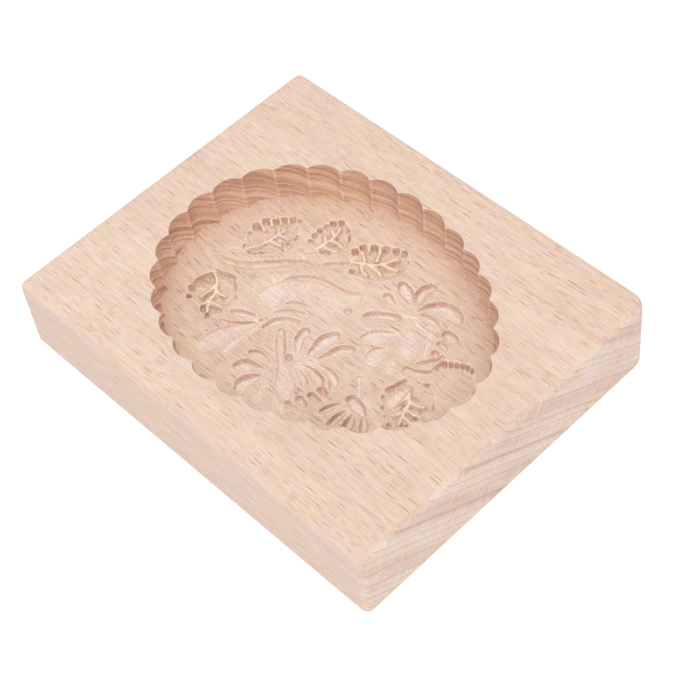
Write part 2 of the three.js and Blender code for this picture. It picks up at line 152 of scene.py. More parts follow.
def beech(name, tone, steep_tone, end_tone, fleck, ring, wall_ring, ray, roughness, bump, extra=None):
    """Bare beech. The tone tints a level face, the steep tone a wall, and the end tone the end grain."""
    # Where a point lies in the wood, in millimetres along the rings, that wander a little
    sheet = Sheet(name)
    place = sheet.add("ShaderNodeTexCoord")
    millimetres = sheet.scaled(place.outputs["Object"], 1000.0)
    drift = sheet.add("ShaderNodeTexNoise", {"Vector": millimetres, "Scale": 0.014, "Detail": 1.0})
    centred = sheet.vector("SUBTRACT", drift.outputs[1], (0.5, 0.5, 0.5))
    wandering = sheet.vector("MULTIPLY_ADD", centred, (0.0, 5.0, 5.0), millimetres)
    sway = sheet.add("ShaderNodeTexNoise", {"Vector": millimetres, "Scale": 0.09, "Detail": 1.0})
    swaying = sheet.vector("SUBTRACT", sway.outputs[1], (0.5, 0.5, 0.5))
    wandering = sheet.vector("MULTIPLY_ADD", swaying, (0.0, 0.7, 0.7), wandering)
    turned = {"Vector": wandering, "Rotation": (RING_SLOPE, 0.0, 0.0)}
    grain = sheet.add("ShaderNodeMapping", turned).outputs[0]
    radial = sheet.split(grain)[2]

    # How the surface cuts the wood: across the rings, across the fibres, or as a steep wall
    facing = sheet.number("ABSOLUTE", sheet.along(place.outputs["Normal"], RADIAL))
    normal = sheet.split(place.outputs["Normal"])
    endwise = sheet.number("ABSOLUTE", normal[0])
    end = sheet.between(endwise, 0.25, 0.45)
    flat_end = sheet.between(endwise, 0.6, 0.85)
    steep = sheet.number("SUBTRACT", 1.0, sheet.between(normal[2], 0.5, 0.95))

    # The growth rings, each browner towards its last wood, with a line at its end. They are plain on
    # the end grain, and faint where the surface lies along them.
    uneven = sheet.noise(sheet.stretched(grain, (0.0, 0.0, 0.11)), detail=1.0)
    rings = sheet.number("MULTIPLY_ADD", uneven, 4.0, sheet.number("DIVIDE", radial, RING_SPACING))
    phase = sheet.number("FRACT", rings)
    late = sheet.number("POWER", phase, 2.2)
    line = sheet.between(phase, 0.84, 0.97)
    line = sheet.number("MULTIPLY", line, sheet.number("SUBTRACT", 1.0, sheet.between(phase, 0.97, 1.0)))
    quarter = sheet.number("SUBTRACT", 1.0, sheet.between(facing, 0.2, 0.6))
    level_ring = sheet.number("MULTIPLY_ADD", quarter, 0.85 * ring, 0.15 * ring)
    more = sheet.number("SUBTRACT", wall_ring, level_ring)
    contrast = sheet.number("MULTIPLY_ADD", steep, more, level_ring)
    contrast = sheet.number("MULTIPLY_ADD", flat_end, 0.65, contrast)
    late = sheet.number("MULTIPLY", late, contrast)
    line = sheet.number("MULTIPLY", line, contrast)
    crowd = sheet.noise(sheet.stretched(grain, (0.015, 0.03, 1.7)), detail=3.0, roughness=0.75)
    close_line = sheet.number("MULTIPLY", sheet.between(crowd, 0.49, 0.61), steep)
    closeness = sheet.number("MULTIPLY_ADD", flat_end, 0.08, 0.42 * wall_ring)
    close_line = sheet.number("MULTIPLY", close_line, closeness)
    broad = sheet.between(sheet.noise(sheet.stretched(grain, (0.004, 0.02, 0.16)), detail=2.0), 0.42, 0.62)
    cloud = sheet.between(sheet.noise(sheet.stretched(grain, (0.012, 0.05, 0.05)), detail=2.0), 0.35, 0.7)

    # The wood's colour, from pale to pink, with the rings' lines and the end grain's cream rays
    band = sheet.number("MULTIPLY", broad, sheet.number("MULTIPLY_ADD", end, 0.5, 0.2))
    share = sheet.number("MULTIPLY_ADD", late, sheet.number("MULTIPLY_ADD", flat_end, 0.25, 0.28), band)
    share = sheet.number("MULTIPLY_ADD", cloud, 0.18, share, clamp=True)
    colour = sheet.blend(share, PALE_BEECH, PINK_BEECH)
    line = sheet.number("MULTIPLY", line, sheet.number("MULTIPLY_ADD", flat_end, 0.35, 0.36))
    line = sheet.number("ADD", line, close_line, clamp=True)
    colour = sheet.blend(line, colour, RING_BROWN)
    rays = sheet.between(sheet.noise(sheet.stretched(grain, (0.05, 2.4, 0.16)), detail=1.0), 0.46, 0.66)
    rays = sheet.number("MULTIPLY", rays, sheet.number("MULTIPLY", flat_end, ray))
    colour = sheet.blend(rays, colour, RAY_CREAM)

    # The fibres, whose shaded streaks are warmer, and soft patches of tan and pink
    fibre = sheet.noise(sheet.stretched(grain, (0.25, 4.5, 4.5)), detail=3.0, roughness=0.7)
    strand = sheet.noise(sheet.stretched(grain, (0.14, 1.5, 1.5)), detail=1.0)
    shade = sheet.number("MULTIPLY_ADD", strand, 0.3, sheet.number("MULTIPLY_ADD", fibre, 0.36, 0.67))
    warm = sheet.vector("MULTIPLY_ADD", shade, WARMTH, tuple(1 - channel for channel in WARMTH))
    colour = sheet.vector("MULTIPLY", colour, warm)
    patch = sheet.between(sheet.noise(sheet.stretched(grain, (0.12, 0.2, 0.2)), detail=1.0), 0.35, 0.65)
    colour = sheet.vector("MULTIPLY", colour, sheet.blend(patch, TAN_PATCH, PINK_PATCH))

    # The ray flecks, which show where the surface lies along the rings
    bold = flecks(sheet, grain, cell=(4.8, 0.8, 14.0), length=2.2, width=0.12, presence=0.65)
    fine = flecks(sheet, grain, cell=(3.4, 0.4, 9.0), length=1.8, width=0.07, presence=0.85)
    dashes = sheet.number("MAXIMUM", bold, sheet.number("MULTIPLY", fine, 0.5))
    seen = sheet.number("MULTIPLY_ADD", sheet.between(facing, 0.35, 0.8), 0.85, 0.15)
    seen = sheet.number("MULTIPLY", seen, sheet.number("SUBTRACT", 1.0, end))
    dark = sheet.number("MULTIPLY", dashes, sheet.number("MULTIPLY", seen, fleck), clamp=True)
    colour = sheet.blend(dark, colour, FLECK_BROWN)

    # The tint of the finish, and the sheen and roughness
    if extra:
        tone, steep_tone, end_tone = extra(sheet, millimetres, tone, steep_tone, end_tone)
    tint = sheet.blend(sheet.between(endwise, 0.4, 0.85), sheet.blend(steep, tone, steep_tone), end_tone)
    sheet.join(sheet.vector("MULTIPLY", colour, tint), sheet.shader.inputs["Base Color"])

    sheet.join(sheet.number("MULTIPLY_ADD", fibre, 0.2, roughness - 0.1), sheet.shader.inputs["Roughness"])
    sheet.shader.inputs["Specular IOR Level"].default_value = 0.3
    height = sheet.number("MULTIPLY_ADD", dashes, -0.6, fibre)
    relief = {"Height": height, "Strength": 1.0, "Distance": bump * MM}
    sheet.join(sheet.add("ShaderNodeBump", relief).outputs[0], sheet.shader.inputs["Normal"])
    return sheet.material


# The steep and end tones make the sides and the end paler and greyer than the top. This is partly the end
# grain's own colour and partly painted light on the sides.
sanded = beech(
    "beech_sanded",
    tone=(1.0, 1.0, 1.0, 1),
    steep_tone=(1.03, 1.05, 1.1, 1),
    end_tone=(1.02, 1.07, 1.13, 1),
    fleck=0.72,
    ring=1.0,
    wall_ring=0.15,
    ray=0.4,
    roughness=0.62,
    bump=0.03,
)

bpy.ops.object.select_all(action="DESELECT")
bpy.ops.mesh.primitive_cube_add(size=1, location=(0, 0, BLOCK_SIZE.z / 2), scale=BLOCK_SIZE)
block = bpy.context.object
block.name = "beech_block"
bpy.ops.object.transform_apply(location=True, rotation=True, scale=True)
bpy.ops.object.mode_set(mode="EDIT")
bpy.ops.mesh.select_mode(type="EDGE")
bpy.ops.mesh.select_all(action="DESELECT")
bpy.ops.object.mode_set(mode="OBJECT")
for edge in block.data.edges:
    ends = [block.data.vertices[number].co for number in edge.vertices]
    edge.select = all(end.x > 0 and end.y > 0 for end in ends)
bpy.ops.object.mode_set(mode="EDIT")
bpy.ops.mesh.bevel(offset=WORN_RADIUS, segments=WORN_SEGMENTS)
bpy.ops.mesh.select_all(action="DESELECT")
bpy.ops.mesh.edges_select_sharp(sharpness=SMOOTH_ANGLE)
bpy.ops.mesh.bevel(offset=EDGE_RADIUS, segments=EDGE_SEGMENTS)
bpy.ops.mesh.select_mode(type="VERT")
bpy.ops.object.mode_set(mode="OBJECT")
block.data.materials.append(sanded)


# The recess
# A scalloped oval with 30 round lobes, cut 11 mm deep with a straight router bit. Its walls lean out a
# little towards the rim. They are browner towards the rim, scorched by the hot bit and with painted shade,
# and the ridges between the lobes are pale with a painted highlight.
FLOOR = 12.0
RIM = 23.0
CENTRE = np.array((0.5, -0.8))
HALF_LENGTH = 45.8
HALF_WIDTH = 34.9
FULLNESS = 0.087
DRAFT = 0.5
LOBES = 30
BULGE = 1.9
LOBE_STEPS = 24
CUTTER_PAST_RIM = 1.0
# Browner towards the rim: scorch, with painted shade
SCORCH_AND_SHADE = (0.86, 0.8, 0.77)
# Paler on the ridges between the lobes: a painted highlight
RIDGE_HIGHLIGHT = (1.14, 1.22, 1.26, 1)


def routed_walls(sheet, millimetres, tone, steep_tone, end_tone):
    """The walls are browner towards the rim, partly scorch and partly painted shade, and have a painted
    highlight on the ridges.
    """
    height = sheet.split(millimetres)[2]
    # Painted shade with the scorch: the walls darken towards the rim
    scorch_and_shade = sheet.number("MULTIPLY", sheet.between(height, FLOOR + 2, RIM - 1), 0.9)
    # Painted highlight: paler near the ridges between the lobes
    ridge = sheet.number("MULTIPLY", sheet.attribute("ridge"), 0.8)
    walls = []
    for wall in (steep_tone, end_tone):
        scorched_and_shaded = tuple(value * share for value, share in zip(wall, SCORCH_AND_SHADE)) + (1,)
        highlighted = tuple(value * share for value, share in zip(wall, RIDGE_HIGHLIGHT))
        walls.append(sheet.blend(ridge, sheet.blend(scorch_and_shade, wall, scorched_and_shaded), highlighted))
    return tone, *walls


routed = beech(
    "beech_routed",
    tone=(0.97, 0.96, 0.95, 1),
    steep_tone=(1.02, 0.97, 0.94, 1),
    end_tone=(1.01, 0.95, 0.92, 1),
    fleck=1.1,
    ring=1.3,
    wall_ring=1.7,
    ray=0.15,
    roughness=0.6,
    bump=0.03,
    extra=routed_walls,
)


def lobed(cusps, bulge, steps):
    """An outline of round lobes that bulge outwards between cusps, which run counterclockwise."""
    outline = []
    for start, end in zip(cusps, np.roll(cusps, -1, axis=0)):
        along = (end - start) / 2
        half = np.hypot(*along)
        outward = np.array((along[1], -along[0])) / half
        radius = (half**2 + bulge**2) / (2 * bulge)
        centre = (start + end) / 2 + outward * (bulge - radius)
        reach = math.atan2(half, radius - bulge)
        for swing in np.linspace(-reach, reach, steps, endpoint=False):
            spoke = outward * math.cos(swing) + along / half * math.sin(swing)
            outline.append(centre + spoke * radius)
    return np.array(outline)


def recess_outline(inset):
    """The lobed oval, drawn in by the inset. Every lobe starts at a cusp, which is a little blunt."""
    angle = np.linspace(0, math.tau, 4001)
    across = np.sin(angle) * (1 - FULLNESS * np.cos(angle))
    oval = np.column_stack(((HALF_LENGTH - inset) * np.cos(angle), (HALF_WIDTH - inset) * across))
    run = np.append(0, np.cumsum(np.hypot(*np.diff(oval, axis=0).T)))
    places = (np.arange(LOBES) + 0.5) / LOBES * run[-1]
    cusps = np.column_stack([np.interp(places, run, oval[:, axis]) for axis in (0, 1)])
    outline = lobed(cusps, BULGE, LOBE_STEPS)
    return (np.roll(outline, 1, axis=0) + 2 * outline + np.roll(outline, -1, axis=0)) / 4


def cut(tool):
    """Takes the tool out of the block. The faces that it leaves have the tool's material."""
    bpy.context.view_layer.objects.active = block
    modifier = block.modifiers.new("cut", "BOOLEAN")
    modifier.operation = "DIFFERENCE"
    modifier.solver = "MANIFOLD"
    modifier.object = tool
    modifier.material_mode = "TRANSFER"
    bpy.ops.object.modifier_apply(modifier=modifier.name)
    bpy.data.objects.remove(tool)


bpy.ops.object.select_all(action="DESELECT")
bpy.ops.mesh.primitive_circle_add(vertices=LOBES * LOBE_STEPS, radius=1, fill_type="NGON")
router = bpy.context.object
floor_line = recess_outline(DRAFT) + CENTRE
rim_line = recess_outline(-DRAFT * CUTTER_PAST_RIM / (RIM - FLOOR)) + CENTRE
for vertex, (x, y) in zip(router.data.vertices, floor_line):
    vertex.co = Vector((x, y, FLOOR)) * MM
bpy.ops.object.mode_set(mode="EDIT")
bpy.ops.mesh.select_all(action="SELECT")
cutter_height = (RIM + CUTTER_PAST_RIM - FLOOR) * MM
bpy.ops.mesh.extrude_region_move(TRANSFORM_OT_translate={"value": (0, 0, cutter_height)})
bpy.ops.object.mode_set(mode="OBJECT")
raised = [vertex for vertex in router.data.vertices if vertex.co.z > RIM * MM]
for (x, y), (rim_x, rim_y) in zip(floor_line, rim_line):
    upper = min(raised, key=lambda end: (end.co.x - x * MM) ** 2 + (end.co.y - y * MM) ** 2)
    upper.co.x = rim_x * MM
    upper.co.y = rim_y * MM
bpy.ops.object.mode_set(mode="EDIT")
bpy.ops.mesh.select_all(action="SELECT")
bpy.ops.mesh.normals_make_consistent(inside=False)
bpy.ops.object.mode_set(mode="OBJECT")
router.data.materials.append(routed)
cut(router)


# The carving
# A bird, a leafy branch and three flowers, cut below the recess's floor with a small ball-nosed bit. Each
# stroke is deepest by a steep wall at its upper left, darkened with painted shade, and runs out shallow,
# pale and rough. Its rim is cream: torn fibres with a painted highlight.
SPACING = 0.18
REACH_X = 44.0
REACH_Y = 33.0
CLEAR = 1.2
CARVER_HEIGHT = 5 * MM
FAR = 9.0
WALL = 1.4
FILLET = 2.4
NARROWEST = 0.2
FULLY_FRESH_AT = 0.3
BURR_WIDTH = 0.16
BURR_DEPTH = 0.05
BURR_SLOPE = 0.4
AWAY = np.array((0.72, -0.69))
ROUGHNESS = 0.03
# The cream of a cut's rim: torn fibres, and a painted highlight
RIM_BURR_AND_HIGHLIGHT = (1.15, 1.24, 1.28, 1)
FRESH_PALE = (1.08, 1.15, 1.24, 1)
# The lit copy of the carving's walls, against the painted shade of the steep tones
PAINTED_LIT_WALL = (0.97, 0.95, 0.95, 1)
OLIVE_SCORCH = (0.82, 0.76, 0.71, 1)


def fresh_cuts_and_painted_light(sheet, millimetres, tone, steep_tone, end_tone):
    """Paler wherever the attribute says that the cut is fresh, and fuzzy all over. The rim is cream from
    torn fibres and a painted highlight, and the walls that face along AWAY get painted shade.
    """
    # Painted highlight with the torn fibres: the top quarter millimetre of a cut turns cream
    at_the_rim = sheet.between(sheet.split(millimetres)[2], FLOOR - 0.25, FLOOR - 0.06)
    burr_and_highlight_share = sheet.number("MULTIPLY", at_the_rim, sheet.attribute("burr_and_highlight"))
    fuzz = sheet.noise(sheet.stretched(millimetres, (2.2, 3.4, 3.4)), detail=2.0, roughness=0.8)
    fuzz = sheet.number("MULTIPLY_ADD", fuzz, 0.9, 0.55)
    olive = sheet.noise(sheet.stretched(millimetres, (0.3, 0.3, 0.3)), detail=2.0)
    olive = sheet.between(olive, 0.42, 0.6)
    normal = sheet.add("ShaderNodeTexCoord").outputs["Normal"]
    # Painted shade: walls that face along AWAY take the darker steep and end tones, and the others a paler
    # lit copy
    painted_shade = sheet.between(sheet.along(normal, (*AWAY, 0)), -0.25, 0.2)
    tones = []
    for worn in (
        sheet.blend(sheet.attribute("fresh"), tone, FRESH_PALE),
        sheet.blend(painted_shade, PAINTED_LIT_WALL, sheet.blend(olive, steep_tone, OLIVE_SCORCH)),
        sheet.blend(painted_shade, PAINTED_LIT_WALL, sheet.blend(olive, end_tone, OLIVE_SCORCH)),
    ):
        tones.append(sheet.scaled(sheet.blend(burr_and_highlight_share, worn, RIM_BURR_AND_HIGHLIGHT), fuzz))
    return tones


# Its steep and end tones are the shaded copy of the walls: painted shade
carved = beech(
    "beech_carved",
    tone=(1.0, 0.985, 0.97, 1),
    steep_tone=(0.82, 0.71, 0.68, 1),
    end_tone=(0.8, 0.69, 0.66, 1),
    fleck=0.5,
    ring=0.8,
    wall_ring=0.8,
    ray=0.0,
    roughness=0.75,
    bump=0.06,
    extra=fresh_cuts_and_painted_light,
)

bpy.ops.object.select_all(action="DESELECT")
bpy.ops.mesh.primitive_grid_add(
    x_subdivisions=round(2 * REACH_X / SPACING),
    y_subdivisions=round(2 * REACH_Y / SPACING),
    size=1,
    location=(CENTRE[0] * MM, CENTRE[1] * MM, FLOOR * MM),
)
carver = bpy.context.object
carver.scale = (2 * REACH_X * MM, 2 * REACH_Y * MM, 1)
bpy.ops.object.transform_apply(location=True, rotation=True, scale=True)
corners = np.empty(len(carver.data.vertices) * 3)
carver.data.vertices.foreach_get("co", corners)
corners = corners.reshape(-1, 3)
across_x = corners[:, 0] / MM - CENTRE[0]
across_y = corners[:, 1] / MM - CENTRE[1]
depth = np.full(across_x.size, -CLEAR)
freshness = np.zeros(across_x.size)
burr_and_highlight_strength = np.zeros(across_x.size)


def smooth_line(points, step=0.15, closed=False):
    """Points close together on a smooth line through the drawn points."""
    drawn = np.array(points, float)
    if closed:
        drawn = np.vstack((drawn[-1], drawn, drawn[:2]))
    else:
        drawn = np.vstack((2 * drawn[0] - drawn[1], drawn, 2 * drawn[-1] - drawn[-2]))
    line = []
    for a, b, c, d in zip(drawn, drawn[1:], drawn[2:], drawn[3:]):
        count = max(2, round(np.hypot(*(c - b)[:2]) / step))
        for t in np.arange(count) / count:
            line.append(
                b + t * (c - a) / 2
                + t**2 * (a - 2.5 * b + 2 * c - d / 2)
                + t**3 * (1.5 * b - a / 2 - 1.5 * c + d / 2)
            )
    if not closed:
        line.append(drawn[-2])
    return np.array(line)


def nearby(points, margin=1.0):
    """The grid's points in the rectangle round some drawn points, widened by a margin."""
    low = np.min(points, axis=0)[:2] - margin
    high = np.max(points, axis=0)[:2] + margin
    return np.flatnonzero(
        (across_x > low[0]) & (across_x < high[0]) & (across_y > low[1]) & (across_y < high[1])
    )


def soft_min(first, second, sharpness=6.0):
    """The smaller of two depths, with a fillet where they meet."""
    return -np.log(np.exp(-sharpness * first) + np.exp(-sharpness * second)) / sharpness


def lower(points, new_depth, fresh, ragged=0.0):
    """The grid goes down to the new depth wherever that is deeper, and is as fresh there as the cut."""
    deeper = new_depth > depth[points]
    # The ragged share sets how cream the rim is: torn fibres with a painted highlight
    burr_and_highlight_strength[points] = np.where(deeper, ragged, burr_and_highlight_strength[points])
    depth[points] = np.where(deeper, np.maximum(new_depth, -CLEAR), depth[points])
    reached = fresh * np.clip(new_depth / FULLY_FRESH_AT, 0, 1)
    freshness[points] = np.where(deeper, reached, freshness[points])


def with_rim(new_depth, inside):
    """A cut with a torn rim round it, no deeper than a scratch."""
    return np.maximum(new_depth, np.minimum(BURR_SLOPE * (inside + BURR_WIDTH), BURR_DEPTH))


def groove(points, deepest, full_width=1.6, tilt=0.85, wall=WALL, fillet=FILLET, fresh=1.0, ragged=0.5):
    """One stroke, drawn in millimetres from the recess's centre.

    The third value of a point is its half width, and a narrow stroke is shallower.
    """
    line = smooth_line(points) if len(points) > 1 else np.array(points, float)
    line[:, 2] = np.maximum(line[:, 2], NARROWEST)
    under = nearby(line, line[:, 2].max() + 1)
    x = across_x[under]
    y = across_y[under]
    best = np.full(x.size, -FAR)
    width = np.ones(x.size)
    leaving = np.zeros(x.size)
    for at_x, at_y, half_width in line:
        inside = half_width - np.hypot(x - at_x, y - at_y)
        nearer = inside > best
        best[nearer] = inside[nearer]
        width[nearer] = half_width
        leaving[nearer] = ((x[nearer] - at_x) * AWAY[0] + (y[nearer] - at_y) * AWAY[1]) / half_width
    rise = 1 - tilt * np.clip(0.5 + 0.5 * leaving, 0, 1)
    bottom = deepest * np.minimum(1, (width / full_width)) ** 0.7 * rise
    lower(under, with_rim(soft_min(wall * best, bottom, fillet), best), fresh, ragged)


def distance_from(line, under):
    """How far the grid's chosen points are from a line of drawn points."""
    x = across_x[under]
    y = across_y[under]
    distance = np.full(x.size, FAR)
    for (ax, ay), (bx, by) in zip(line, line[1:]):
        ex = bx - ax
        ey = by - ay
        share = np.clip(((x - ax) * ex + (y - ay) * ey) / (ex * ex + ey * ey), 0, 1)
        distance = np.minimum(distance, np.hypot(x - ax - share * ex, y - ay - share * ey))
    return distance


def area(points):
    """The grid's points round a closed outline, and how far inside it each is, negative outside."""
    outline = smooth_line(points, step=0.6, closed=True)
    under = nearby(outline)
    x = across_x[under]
    y = across_y[under]
    closed = np.vstack((outline, outline[:1]))
    enclosed = np.zeros(x.size, bool)
    for (ax, ay), (bx, by) in zip(closed, closed[1:]):
        if ay != by:
            enclosed ^= ((ay > y) != (by > y)) & (x < ax + (bx - ax) * (y - ay) / (by - ay))
    distance = distance_from(closed, under)
    return under, np.where(enclosed, distance, -distance)


# The leaves: a shallow blade, a row of deep square notches along one edge, deep pits between the
# veins, and a midrib and side veins that are left standing
BLADE_DEPTH = 0.85
BLADE_WALL = 0.55
NOTCH_DEPTH = 1.4
NOTCH_SWELL = 1.08
NOTCH_STRETCH = 1.2
NOTCH_WALL = 2.4
PIT_DEPTH = 1.5
PIT_SWELL = 1.25
LEAF_ROUGHNESS = 0.12
VEIN_TOP = 0.04
VEIN_HALF_WIDTH = 0.2
VEIN_FLANK = 2.4
tear = np.random.default_rng(3)


def notch(x_place, y_place, half_width, stretch):
    """A square pit with round corners. Its long way leans the same way on every leaf."""
    under = nearby([[x_place, y_place]], margin=2.5)
    x = across_x[under] - x_place
    y = across_y[under] - y_place
    leaving = x * AWAY[0] + y * AWAY[1]
    lengthwise = np.abs(leaving) / (half_width * stretch)
    sideways = np.abs(x * AWAY[1] - y * AWAY[0]) / half_width
    inside = (1 - (lengthwise**4 + sideways**4) ** 0.25) * half_width
    bottom = NOTCH_DEPTH * min(1, half_width * stretch / NOTCH_STRETCH) * (1 - 0.2 * leaving / half_width)
    new_depth = soft_min(NOTCH_WALL * inside, bottom, sharpness=4.0)
    lower(under, with_rim(new_depth, inside), fresh=0.0, ragged=0.7)


def vein(points, flank=VEIN_FLANK):
    """A narrow ridge, left standing nearly to the floor's level."""
    under = nearby(points)
    away = distance_from(smooth_line(points, step=0.5), under)
    ceiling = VEIN_TOP + flank * np.clip(away - VEIN_HALF_WIDTH, 0, FAR)
    standing = (depth[under] > VEIN_TOP) & (ceiling < depth[under])
    depth[under] = np.where(standing, ceiling, depth[under])
    burr_and_highlight_strength[under] = np.where(standing, 1.0, burr_and_highlight_strength[under])


def leaf(
    outline, notches, pits, veins, torn=LEAF_ROUGHNESS, blade_depth=BLADE_DEPTH, stretch=NOTCH_STRETCH
):
    """A pit's third value is its half width, as a groove's is."""
    under, inside = area(outline)
    blade = soft_min(BLADE_WALL * inside, np.full(inside.size, blade_depth))
    lower(under, with_rim(blade, inside), fresh=0.0, ragged=0.6)
    for ridge in veins:
        vein(ridge, flank=1.0)
    for x_place, y_place, half_width in notches:
        notch(x_place, y_place, half_width * NOTCH_SWELL, stretch)
    for pit in pits:
        pit = [[x, y, half_width * PIT_SWELL] for x, y, half_width in pit]
        groove(pit, PIT_DEPTH, full_width=0.6, tilt=0.5, wall=2.0, fillet=5.0, fresh=0.0, ragged=0.7)
    rough = tear.normal(0, torn, under.size) * np.clip(depth[under] - 0.35, 0.25, 1)
    depth[under] += np.where(depth[under] > 0.3, rough, 0)
    for ridge in veins:
        vein(ridge)


leaf(
    outline=[
        [-36, 5], [-36.9, 7.1], [-37.6, 9.2], [-37, 12.2], [-35.2, 14.2], [-34, 16], [-31.8, 17.8],
        [-29.8, 18.6], [-27.9, 17.5], [-27.2, 15.7], [-25.9, 14.2], [-25.5, 11.3], [-25.7, 9.3],
        [-26.5, 6.8], [-27.9, 4.8], [-30.1, 2.5], [-32.1, 1.9], [-33.6, 2.7],
    ],
    notches=[
        [-36.5, 6.9, 0.55], [-36.6, 9.7, 1.2], [-36.1, 12.4, 1.05], [-34.1, 14.1, 0.95],
        [-32.9, 15.8, 0.85], [-31.2, 17.2, 0.9], [-29.6, 18.1, 0.6],
    ],
    pits=[
        [[-31.6, 11.5, 0.4], [-31.2, 11, 0.4]],
        [[-31.3, 9.9, 0.4], [-31.4, 8.3, 0.35]],
        [[-30.9, 12.6, 0.35], [-30.5, 12.9, 0.3]],
        [[-29.8, 12.3, 0.4], [-28, 12.6, 0.4]],
        [[-29, 13.4, 0.35], [-26.7, 13.5, 0.35]],
        [[-29.9, 10.7, 0.35], [-27.8, 11.2, 0.4]],
        [[-29.8, 9.3, 0.3], [-28.4, 10, 0.3]],
        [[-27.9, 10.1, 0.65], [-26.6, 11, 0.7]],
        [[-26.4, 14.3, 0.4], [-25.8, 13, 0.35]],
        [[-30.4, 7, 0.5], [-29.3, 7.2, 0.55]],
        [[-28.7, 8, 0.35], [-26.9, 8.7, 0.35]],
        [[-26.5, 8.7, 0.35], [-25.6, 8.3, 0.35]],
        [[-32, 2.7, 0.7], [-30.9, 3, 0.8]],
        [[-30.4, 4.3, 0.6], [-29.3, 4.7, 0.6]],
        [[-34.6, 3.3, 0.35], [-33.9, 2.5, 0.35]],
    ],
    veins=[
        [[-33.7, 2.7], [-32.1, 4.7], [-31.1, 7.5], [-30.6, 10.4], [-30.4, 12.1], [-30.3, 13.6]],
        [[-30.7, 11.3], [-31.8, 12.9]],
        [[-30.3, 11.5], [-28.4, 11.7], [-27.4, 11.9]],
        [[-30.7, 8.5], [-29.1, 8.8], [-27.4, 9.3]],
        [[-37, 11], [-34.4, 10.3]],
        [[-35.6, 13.4], [-34, 12.6]],
        [[-34.2, 15.5], [-33, 14.7]],
        [[-32.5, 17], [-31.4, 16.1]],
    ],
)
leaf(
    outline=[
        [-22, 14.2], [-23, 15.5], [-23.7, 17.7], [-24, 19.8], [-23.5, 21.7], [-22.8, 23.4], [-21.8, 24.8],
        [-20.6, 25.6], [-18.8, 25.3], [-16.5, 24], [-14.8, 22.2], [-13.7, 20], [-13.7, 18.1],
        [-14.4, 16.1], [-15.5, 14.5], [-17.2, 13.8], [-19.3, 14.3],
    ],
    notches=[
        [-22.6, 15.3, 0.7], [-23.1, 17.3, 0.8], [-23.3, 19.4, 0.8],
        [-22.8, 21.3, 0.75], [-22.3, 23.2, 0.85], [-20.9, 24.7, 0.85],
    ],
    pits=[
        [[-19.4, 24.6, 0.4], [-17.7, 23.9, 0.55]],
        [[-16.5, 23.2, 0.4], [-15.4, 22, 0.45]],
        [[-14.6, 20.6, 0.35], [-14.3, 19.8, 0.35]],
        [[-18.1, 20.4, 0.6], [-16.7, 20.1, 0.65]],
        [[-18, 17.8, 0.6], [-16.9, 18.2, 0.6]],
        [[-16.7, 17.2, 0.35], [-15.4, 18.2, 0.35]],
        [[-17.8, 14.9, 0.8], [-16.6, 15.6, 0.8]],
        [[-19.7, 19.5, 0.35], [-19.4, 18.7, 0.35]],
        [[-18.7, 21.6, 0.3], [-18.1, 22, 0.3]],
        [[-17.2, 21.5, 0.3], [-16.9, 21.7, 0.3]],
    ],
    veins=[
        [[-19.8, 13.4], [-19.3, 16.4], [-19.1, 18.4], [-18.9, 20.6], [-19.9, 23.2]],
        [[-19.2, 17.2], [-20.9, 18.9]],
        [[-18.8, 18.9], [-16.6, 19.3], [-15, 19]],
        [[-19.3, 16.4], [-17.4, 16.3], [-15.2, 17]],
        [[-19.1, 20.4], [-21, 21.4]],
    ],
)
leaf(
    outline=[
        [-10.2, 17.6], [-10, 19.4], [-10.9, 21.2], [-11.4, 22.7], [-10.4, 24.1], [-8.7, 25.5], [-6.3, 26.9],
        [-4, 28], [-1.8, 28.9], [0.2, 28], [2.3, 25.9], [2.9, 23.2], [2.4, 20.7], [1.3, 18.3],
        [-1.1, 16.4], [-3.1, 15.1], [-5.8, 14.4], [-7.8, 14.5], [-9.4, 15.9],
    ],
    notches=[
        [-11.3, 20.2, 0.95], [-10.8, 22.5, 0.85], [-8.5, 24.3, 0.95],
        [-5.9, 25.8, 1], [-3.6, 27, 1], [-1.5, 27.9, 0.85],
    ],
    pits=[
        [[-5.4, 20.3, 0.35], [-4.6, 20.9, 0.45]],
        [[-1.1, 23.4, 0.8], [-0.4, 24.3, 0.9]],
        [[-3.2, 23.6, 0.35], [-2.4, 24, 0.3]],
        [[-3.2, 20.6, 0.45], [-1.6, 20.6, 0.75]],
        [[-5.4, 17.8, 0.4], [-4.5, 18, 0.55], [-3.8, 17.4, 0.45]],
        [[0.7, 21.3, 0.45], [1.1, 21.1, 0.45]],
        [[-2.4, 17.4, 0.35], [-1.5, 17.6, 0.35]],
        [[-0.5, 18, 0.4], [-0.1, 18.2, 0.4]],
        [[-3.6, 15.5, 0.35], [-3.1, 15.8, 0.35]],
        [[-7.4, 15.3, 0.9], [-6.2, 15.8, 0.85]],
        [[1, 26.7, 0.35], [1.7, 26, 0.3]],
        [[-9.5, 20.9, 0.35], [-8.5, 19.7, 0.3]],
        [[-7.2, 22.3, 0.35], [-6.2, 23, 0.3]],
    ],
    veins=[
        [[-9.8, 17.2], [-7, 18.9], [-5, 20.1], [-3.4, 21.8], [-1.6, 25.6]],
        [[-7.6, 25.4], [-6.4, 24], [-5.1, 21.6]],
        [[-9.9, 21.3], [-7.4, 19.6]],
        [[-5.4, 19.3], [-3.1, 19.4], [-1, 18.9]],
        [[-3.6, 22], [-1.7, 21.9], [0.8, 22.8]],
        [[-7.2, 18.2], [-5.6, 16.9], [-3.8, 16.6]],
        [[-11.2, 21.3], [-9.3, 20.9]],
        [[-9.9, 23.9], [-8.9, 22.6]],
    ],
)
